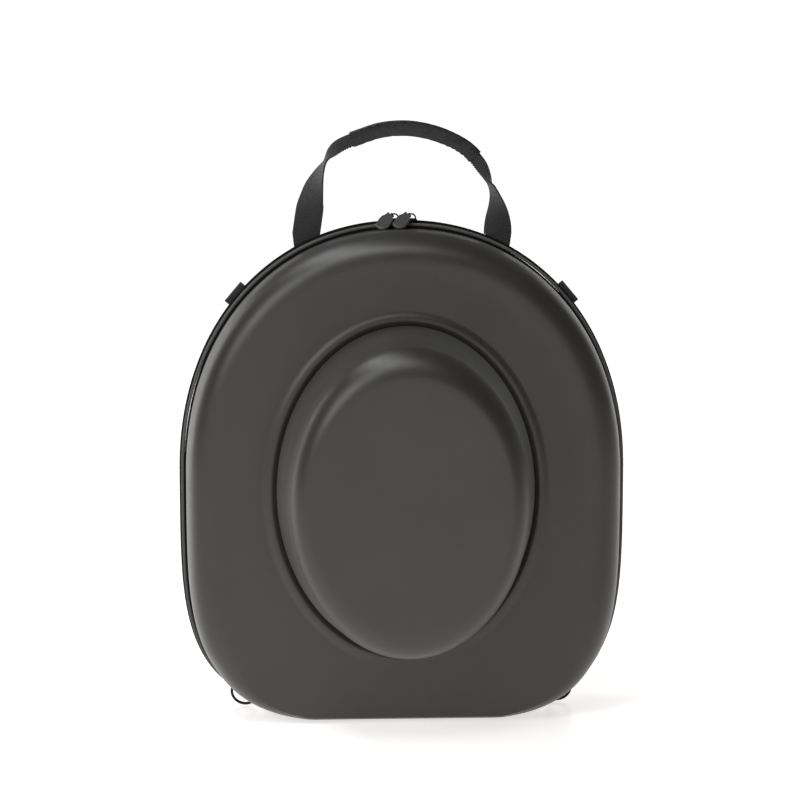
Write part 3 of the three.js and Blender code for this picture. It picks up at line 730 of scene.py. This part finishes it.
# The strap's foot lies on the back shell's wall and bends up into the leg
def footFrames(sign):
    nx, nz = outlineNormal(legAngle)
    out = Vector((sign * nx, 0, nz))
    slope = Vector((sign * nz, 0, -nx))
    draft = math.atan(wallSlope)
    bend, rows = handle["bend"], handle["footRows"]
    frames = []

    def onWall(depth):
        return handle["thickness"] / 2 - shell["inset"] - (depth - wallStart) * wallSlope

    def add(depth, height, lean):
        point = Vector((sign * legX, case["rimPlane"] + depth, legZ)) + out * height
        frames.append((point, slope, Vector((0, math.sin(lean), 0)) + out * math.cos(lean)))

    start = legDepth + bend * (1 - math.sin(draft))
    for i in range(rows):
        depth = start + handle["foot"] * (1 - i / rows)
        add(depth, onWall(depth), draft)
    for i in range(handle["bendRows"] + 1):
        lean = mix(draft, math.pi / 2, i / handle["bendRows"])
        height = onWall(start) + bend * (math.cos(draft) - math.cos(lean))
        add(legDepth + bend * (1 - math.sin(lean)), height, lean)
    return frames


def makeWebbing():
    last = len(handleShape) - 1
    rings = [webbingRing(frameAt, 1, 0) for frameAt in footFrames(-1)]
    for i in range(handle["rings"] + 1):
        place = i / handle["rings"] * last
        turn, fold = handlePoint(place)[1:]
        frill = handle["frill"] * math.sin(i * math.tau / handle["frillRings"] + handle["frillStart"])
        rings.append(webbingRing(handleFrame(place), turn, fold, frill))
    rings += [webbingRing(frameAt, -1, 0) for frameAt in reversed(footFrames(1))]
    piece = drawRings("handleWebbing", rings)
    run = [0.0]
    for a, b in zip(rings, rings[1:]):
        centreA, centreB = sum(a, Vector()) / len(a), sum(b, Vector()) / len(b)
        run.append(run[-1] + (centreA - centreB).length)
    wide = 2 * handle["halfSteps"] + 1

    def across(r, p):
        step = min(p if p < wide else 2 * wide - p, wide - 1)
        return (step / (wide - 1) - 0.5) * handle["width"] * mm

    keepWeave(piece, across, lambda r, p: run[r])
    return finishPiece(piece, webbingCloth, 50, ["handle_webbing"])


makeWebbing()
print("webbing made")


# Grip: a thin coated sleeve round the folded webbing, open at both ends. Each crease is a place and a size.
grip = {
    "start": 0.378, "end": 0.683, "wall": 0.9, "corner": 1.1, "innerCorner": 0.25, "cornerSteps": 4,
    "rings": 90, "creaseWidth": 0.012, "pinch": 0.14, "lift": 0.65, "sink": 0.12,
    "creases": (
        (0.1, 0.5), (0.17, 0.35), (0.3, 0.4), (0.55, 0.3), (0.7, 0.6),
        (0.755, 0.9), (0.8, 1), (0.85, 0.8), (0.91, 0.9), (0.955, 0.5),
    ),
}


def gripPlan(grow):
    wide = handle["spine"] / 2 + handle["thickness"] / 2 + handle["gap"] + grow
    reach = (handle["width"] - handle["spine"]) / 2
    low = -reach / 2 - handle["gap"] - grow
    high = reach / 2 + handle["thickness"] / 2 + handle["gap"] + grow
    corner = grip["corner"] if grow else grip["innerCorner"]
    middle, tall = (low + high) / 2, (high - low) / 2
    points = []
    for quarter, (sx, sz) in enumerate(((1, 1), (-1, 1), (-1, -1), (1, -1))):
        for i in range(grip["cornerSteps"] + 1):
            turn = (quarter + i / grip["cornerSteps"]) * math.pi / 2
            points.append((sx * (wide - corner) + math.cos(turn) * corner,
                           middle + sz * (tall - corner) + math.sin(turn) * corner))
    return points


def gripRing(share, grow):
    place = mix(grip["start"], grip["end"], share) * (len(handleShape) - 1)
    point, out, back = handleFrame(place)
    crease = 0.0
    for at, size in grip["creases"] if grow else ():
        crease += size * math.exp(-((share - at) / grip["creaseWidth"]) ** 2)
    placed = []
    for u, v in gripPlan(grow):
        lift = grip["lift"] if v < 0 else -grip["sink"]
        placed.append((point + back * (u * (1 - grip["pinch"] * crease)) + out * (v + lift * crease)) * mm)
    return placed


def makeGrip():
    shares = [i / grip["rings"] for i in range(grip["rings"] + 1)]
    rings = [gripRing(share, grip["wall"]) for share in shares]
    rings += [gripRing(share, 0) for share in reversed(shares)]
    piece = drawRings("handleGrip", rings, closed=True)
    return finishPiece(piece, gripSkin, 40, ["handle_grip"])


makeGrip()
print("grip made")


# A smooth path through a list of points, and round wire along it
def smoothPath(points, steps, closed=False):
    path = []
    count = len(points) if closed else len(points) - 1
    for i in range(steps if closed else steps + 1):
        place = i / steps * count
        k = int(place) if closed else min(count - 1, int(place))
        if closed:
            four = [points[(k + j) % len(points)] for j in (-1, 0, 1, 2)]
        else:
            four = [points[min(len(points) - 1, max(0, k + j))] for j in (-1, 0, 1, 2)]
        path.append(between(*four, place - k))
    return path


def wireRings(path, diameter, closed):
    rings = []
    count, sides = len(path), 14
    for i, point in enumerate(path):
        before = path[i - 1] if closed or i else point
        after = path[(i + 1) % count] if closed or i < count - 1 else point
        along = (after - before).normalized()
        out = along.cross(Vector((0, 0, 1))).normalized()
        across = out.cross(along)
        placed = []
        for j in range(sides):
            turn = j / sides * math.tau
            placed.append(point + (across * math.cos(turn) + out * math.sin(turn)) * diameter / 2)
        rings.append(placed)
    return rings


# D-rings, each in a webbing loop low on the side of the back shell
dRing = {
    "offset": 128.5, "wire": 2.2, "radius": 10.5, "corner": 0.6, "steps": 96,
    "swing": {"left": 0, "right": 8}, "tabWidth": 16.4,
}
tab = {
    "offset": 133, "width": 20, "height": 4.3, "gap": 0.3,
    "edgeShare": 0.488, "flatShare": 0.45, "edgeRound": 0.18,
}
ringRoom = dRing["wire"] + 2 * tab["gap"]
ringDepth = shell["rebate"] + handle["thickness"] + ringRoom / 2


def sideAngle(side, offset, upper):
    angle = outlineAngle(offset, upper)
    return angle if side == "right" else math.pi - angle


# The straight bar first, then the bow
def dRingPath():
    radius, corner = dRing["radius"], dRing["wire"] * dRing["corner"]
    points = [Vector((mix(corner - radius, radius - corner, i / 4), 0, 0)) for i in range(5)]
    for i in range(11):
        turn = i / 10 * math.pi
        points.append(Vector((radius * math.cos(turn), mix(corner, radius, math.sin(turn)), 0)))
    return smoothPath(points, dRing["steps"], closed=True)


def makeDRing(side):
    rings = wireRings(dRingPath(), dRing["wire"], True)
    matrix = rimMatrix(sideAngle(side, dRing["offset"], False), 0, ringDepth)
    matrix = matrix @ Matrix.Rotation(math.radians(90 - dRing["swing"][side]), 4, "X")
    piece = drawRings(f"{side}DRing", [[matrix @ (p * mm) for p in loop] for loop in rings], closed=True)
    return finishPiece(piece, blackMetal, 60, [f"{side}_d_ring"])


# Folded webbing standing on the rim: two layers joined at the outer end.
def tabOutline(height, room):
    outer, foot = handle["thickness"] + room / 2, -shell["inset"] + tab["gap"]
    top = height - outer
    points = [(-outer, mix(foot, top, i / 5)) for i in range(6)]
    turns = [i / 12 * math.pi for i in range(1, 12)]
    points += [(-outer * math.cos(turn), top + outer * math.sin(turn)) for turn in turns]
    points += [(outer, mix(top, foot, i / 5)) for i in range(6)]
    inner = room / 2
    points += [(inner, mix(foot, top, i / 5)) for i in range(6)]
    turns = [i / 6 * math.pi for i in range(1, 6)]
    points += [(inner * math.cos(turn), top + inner * math.sin(turn)) for turn in turns]
    points += [(-inner, mix(top, foot, i / 5)) for i in range(6)]
    return points


def makeTab(name, matrix, width, height, room, node):
    outline = tabOutline(height, room)
    flat, edge = tab["flatShare"], tab["edgeShare"]
    places = [-0.5, -edge] + [mix(-flat, flat, i / 8) for i in range(9)] + [edge, 0.5]
    rings = []
    for share in places:
        rounded = tab["edgeRound"] if abs(share) == 0.5 else 0.0
        placed = []
        for i, (y, z) in enumerate(outline):
            before, after = outline[i - 1], outline[(i + 1) % len(outline)]
            ny, nz = -(after[1] - before[1]), after[0] - before[0]
            inwards = rounded / math.hypot(ny, nz)
            placed.append(matrix @ (Vector((share * width, y - ny * inwards, z - nz * inwards)) * mm))
        rings.append(placed)
    piece = drawRings(name, rings)
    reach = [0.0]
    for a, b in zip(outline, outline[1:]):
        reach.append(reach[-1] + math.dist(a, b))
    keepWeave(piece, lambda r, p: places[r] * width * mm, lambda r, p: reach[p] * mm)
    return finishPiece(piece, webbingCloth, 50, [node])


for side in ("left", "right"):
    makeDRing(side)
    low = rimMatrix(sideAngle(side, dRing["offset"], False), 0, ringDepth)
    height = handle["thickness"] + ringRoom / 2
    makeTab(f"{side}RingTab", low, dRing["tabWidth"], height, ringRoom, f"{side}_ring_tab")
    depth = shell["rebate"] + handle["thickness"] + tab["gap"]
    high = rimMatrix(sideAngle(side, tab["offset"], True), 0, depth)
    makeTab(f"{side}Tab", high, tab["width"], tab["height"], tab["gap"], f"{side}_tab")
print("tabs and rings made")


# Sliders with their wire loops and drop-shaped pulls, side by side at the top
pull = {
    "spread": 13.6, "above": 0.3, "length": 23, "width": 11.2, "thickness": 2.4, "head": (-3.6, -5.2, 5.2),
    "rim": 0.9, "rimStep": 0.3, "bevel": 0.8, "endSteps": 24,
    "loopWire": 1.5, "loopSpread": 3, "loopRise": 0.38, "loopSteps": 72, "prongSunk": 1, "prongClear": 1.2,
    "bridgeLength": 8.4, "bridgeHeight": 4.2, "bridgeWidth": 2, "bridgeWire": 1.1, "body": 1.4,
}
# Side of a pull's neck: width as a share of half the pull or half the neck, place as a share of the length
neckShape = (
    ("pull", 0.97, -0.43), ("pull", 0.87, -0.26),
    ("neck", 1, -0.12), ("neck", 0.82, -0.04), ("neck", 0.45, 0),
)
slider = {"bevel": 0.2, "merge": 0.01}
pullAlong = Vector((-0.36, -0.80, -0.43)).normalized()
pullFace = Vector((0, -0.57, 0.82))
pullFace = (pullFace - pullAlong * pullFace.dot(pullAlong)).normalized()
pullAcross = pullFace.cross(pullAlong)


# The wire comes out of the pull, goes under the slider's bridge and behind its end, and back into the pull
def makeLoop(side, matrix):
    head = Vector(pull["head"])

    def prong(sign, back):
        return head + pullAcross * sign * pull["loopSpread"] / 2 - pullAlong * back

    sunk, clear = -pull["prongSunk"], pull["prongClear"]
    outside = pull["bridgeLength"] / 2
    inside = outside - pull["bridgeWire"]
    high = pull["body"] + pull["bridgeHeight"] * pull["loopRise"]
    behind = pull["bridgeWidth"] / 2 + pull["loopWire"]
    points = [
        prong(1, sunk), prong(1, clear),
        Vector((-inside * 0.2, 0, high)), Vector((-inside * 0.4, behind * 1.1, high)),
        Vector((-(inside + outside) / 2, behind * 1.35, high)), Vector((-outside - 1.2, behind, high)),
        Vector((-outside - 1.8, 0, high + 1.2)), prong(-1, clear), prong(-1, sunk),
    ]
    rings = wireRings(smoothPath(points, pull["loopSteps"]), pull["loopWire"], False)
    piece = drawRings(f"{side}PullLoop", [[matrix @ (p * mm) for p in loop] for loop in rings])
    return finishPiece(piece, blackMetal, 60, [f"{side}_pull_loop"])


# The round end from side to side, then one side of the neck and its mirror
def pullOutline():
    half = {"pull": pull["width"] / 2, "neck": pull["loopSpread"] / 2 + pull["loopWire"]}
    wide = half["pull"]
    outline = []
    for i in range(pull["endSteps"] + 1):
        turn = math.pi + i / pull["endSteps"] * math.pi
        outline.append((wide * math.cos(turn), wide - pull["length"] + wide * math.sin(turn)))
    neck = [(half[part] * share, pull["length"] * place) for part, share, place in neckShape]
    return outline + neck + [(-x, y) for x, y in reversed(neck)]


def makePull(side, matrix):
    outline = pullOutline()
    bpy.ops.object.select_all(action="DESELECT")
    bpy.ops.mesh.primitive_circle_add(vertices=len(outline), radius=0.01, fill_type="NGON")
    piece = bpy.context.object
    piece.name = f"{side}Pull"
    for vert, (x, y) in zip(piece.data.vertices, outline):
        vert.co = Vector((x, y, -pull["thickness"] / 2)) * mm
    bpy.ops.object.mode_set(mode="EDIT")
    bpy.ops.mesh.select_all(action="SELECT")
    bpy.ops.mesh.extrude_region_move(TRANSFORM_OT_translate={"value": (0, 0, pull["thickness"] * mm)})
    bpy.ops.mesh.inset(thickness=pull["rim"] * mm, depth=0)
    bpy.ops.mesh.inset(thickness=pull["rimStep"] * mm, depth=-pull["rimStep"] * mm)
    bpy.ops.mesh.select_all(action="SELECT")
    bpy.ops.mesh.normals_make_consistent(inside=False)
    bpy.ops.object.mode_set(mode="OBJECT")
    applyModifier(piece, "BEVEL", width=pull["bevel"] * mm, segments=4, limit_method="ANGLE",
                  angle_limit=math.radians(50))
    turned = Matrix((pullAcross, -pullAlong, pullFace)).transposed().to_4x4()
    piece.matrix_world = matrix @ Matrix.Translation(Vector(pull["head"]) * mm) @ turned
    return finishPiece(piece, pullRubber, 40, [f"{side}_pull"])


# The slider keeps the solid's shape, with its edges softened
def makeSlider(side):
    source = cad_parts[f"{side}_slider"]
    piece = source.copy()
    piece.data = source.data.copy()
    piece.name = f"{side}Slider"
    piece.parent = None
    piece.matrix_world = source.matrix_world.copy()
    bpy.context.scene.collection.objects.link(piece)
    pick(piece)
    bpy.ops.object.mode_set(mode="EDIT")
    bpy.ops.mesh.select_all(action="SELECT")
    bpy.ops.mesh.remove_doubles(threshold=slider["merge"] * mm)
    bpy.ops.mesh.tris_convert_to_quads()
    bpy.ops.object.mode_set(mode="OBJECT")
    applyModifier(piece, "BEVEL", width=slider["bevel"] * mm, segments=2, limit_method="ANGLE",
                  angle_limit=math.radians(40))
    return finishPiece(piece, blackMetal, 40, [f"{side}_slider"])


for side in ("left", "right"):
    matrix = rimMatrix(sideAngle(side, pull["spread"] / 2, True), pull["above"], 0)
    makeSlider(side)
    makeLoop(side, matrix)
    makePull(side, matrix)
print("sliders and pulls made")


# Floor, white backdrop and lights
studio = {
    "floorSize": 14, "floorGlow": 0.64, "glowColour": (1, 0.988, 0.972, 1),
    "floorDark": (0.9, 0.895, 0.885), "floorLight": (0.91, 0.905, 0.895),
    "backdropPlace": (0.1, 2.6, 0.58), "backdropTarget": (0, 0, 0.58), "backdropSize": (3.4, 1.2),
    "backdropColour": (0.02, 0.02, 0.02, 1), "backdropGlow": 1.03,
    "worldColour": (1.0, 0.99, 0.975, 1), "worldGlow": 0.01,
}
# Name, place, target, size in metres and power in watts
lights = (
    ("leftWindow", (-1.45, 1.3, 0.6), (0, 0.05, 0.2), (0.5, 1.2), 6.5),
    ("rightWindow", (1.3, 1.6, 0.6), (0, 0.05, 0.2), (0.4, 1.2), 1.5),
    ("keyLight", (-1.5, -1.5, 1.4), (0, 0, 0.2), (1.2, 1.2), 22),
    ("highLight", (-0.2, -1.3, 2.2), (0, 0, 0.2), (1.2, 1.0), 8),
    ("frontLight", (0, -2.4, 0.5), (0, 0, 0.2), (2.4, 0.5), 5.5),
    ("topLight", (-0.45, -0.15, 1.6), (-0.02, -0.02, 0.2), (1.7, 0.4), 12),
)


def addFloor():
    bpy.ops.mesh.primitive_plane_add(size=1, location=(0, 0, 0))
    floor = bpy.context.object
    floor.name = "floor"
    floor.scale = (studio["floorSize"], studio["floorSize"], 1)
    bpy.ops.object.transform_apply(location=True, rotation=True, scale=True)
    pale = Shades("floorPale", 0.3, 0.3)
    pale.colour(pale.noise(2, 2), studio["floorDark"], studio["floorLight"])
    pale.surface.inputs["Emission Color"].default_value = studio["glowColour"]
    pale.surface.inputs["Emission Strength"].default_value = studio["floorGlow"]
    floor.data.materials.append(pale.material)


def addBackdrop():
    place, (width, height) = Vector(studio["backdropPlace"]), studio["backdropSize"]
    bpy.ops.object.select_all(action="DESELECT")
    bpy.ops.mesh.primitive_plane_add(size=1, location=place)
    panel = bpy.context.object
    panel.name = "backdrop"
    panel.scale = (width, height, 1)
    panel.rotation_euler = (Vector(studio["backdropTarget"]) - place).to_track_quat("Z", "Y").to_euler()
    lit = Shades("backdrop", 1, 0.5)
    lit.surface.inputs["Base Color"].default_value = studio["backdropColour"]
    lit.surface.inputs["Emission Color"].default_value = studio["glowColour"]
    lit.surface.inputs["Emission Strength"].default_value = studio["backdropGlow"]
    panel.data.materials.append(lit.material)


def addLight(name, place, target, size, power):
    bpy.ops.object.light_add(type="AREA", location=place)
    light = bpy.context.object
    light.name = name
    light.data.shape = "RECTANGLE"
    light.data.size, light.data.size_y = size
    light.data.energy = power
    light.rotation_euler = (Vector(target) - Vector(place)).to_track_quat("-Z", "Y").to_euler()


addFloor()
addBackdrop()
for row in lights:
    addLight(*row)

world = bpy.data.worlds.new("studio")
bpy.context.scene.world = world
world.use_nodes = True
world.node_tree.nodes["Background"].inputs["Color"].default_value = studio["worldColour"]
world.node_tree.nodes["Background"].inputs["Strength"].default_value = studio["worldGlow"]
print("stage made")


# Camera, a little above and to the viewer's left. The focal length is in pixels of the frame's width.
photo = {
    "distance": 2.2, "azimuth": 2.8, "elevation": 7.5, "target": (-0.006, 0.050, 0.2572),
    "focal": 2729, "frameWidth": 790, "sensor": 36,
}


def addCamera():
    azimuth, elevation = math.radians(photo["azimuth"]), math.radians(photo["elevation"])
    away = Vector((-math.sin(azimuth) * math.cos(elevation), -math.cos(azimuth) * math.cos(elevation),
                   math.sin(elevation)))
    bpy.ops.object.camera_add(location=Vector(photo["target"]) + away * photo["distance"])
    camera = bpy.context.object
    camera.rotation_euler = (-away).to_track_quat("-Z", "Y").to_euler()
    camera.data.sensor_width = photo["sensor"]
    camera.data.lens = photo["focal"] / photo["frameWidth"] * photo["sensor"]
    bpy.context.scene.camera = camera


addCamera()
bpy.context.scene.view_settings.view_transform = "Standard"
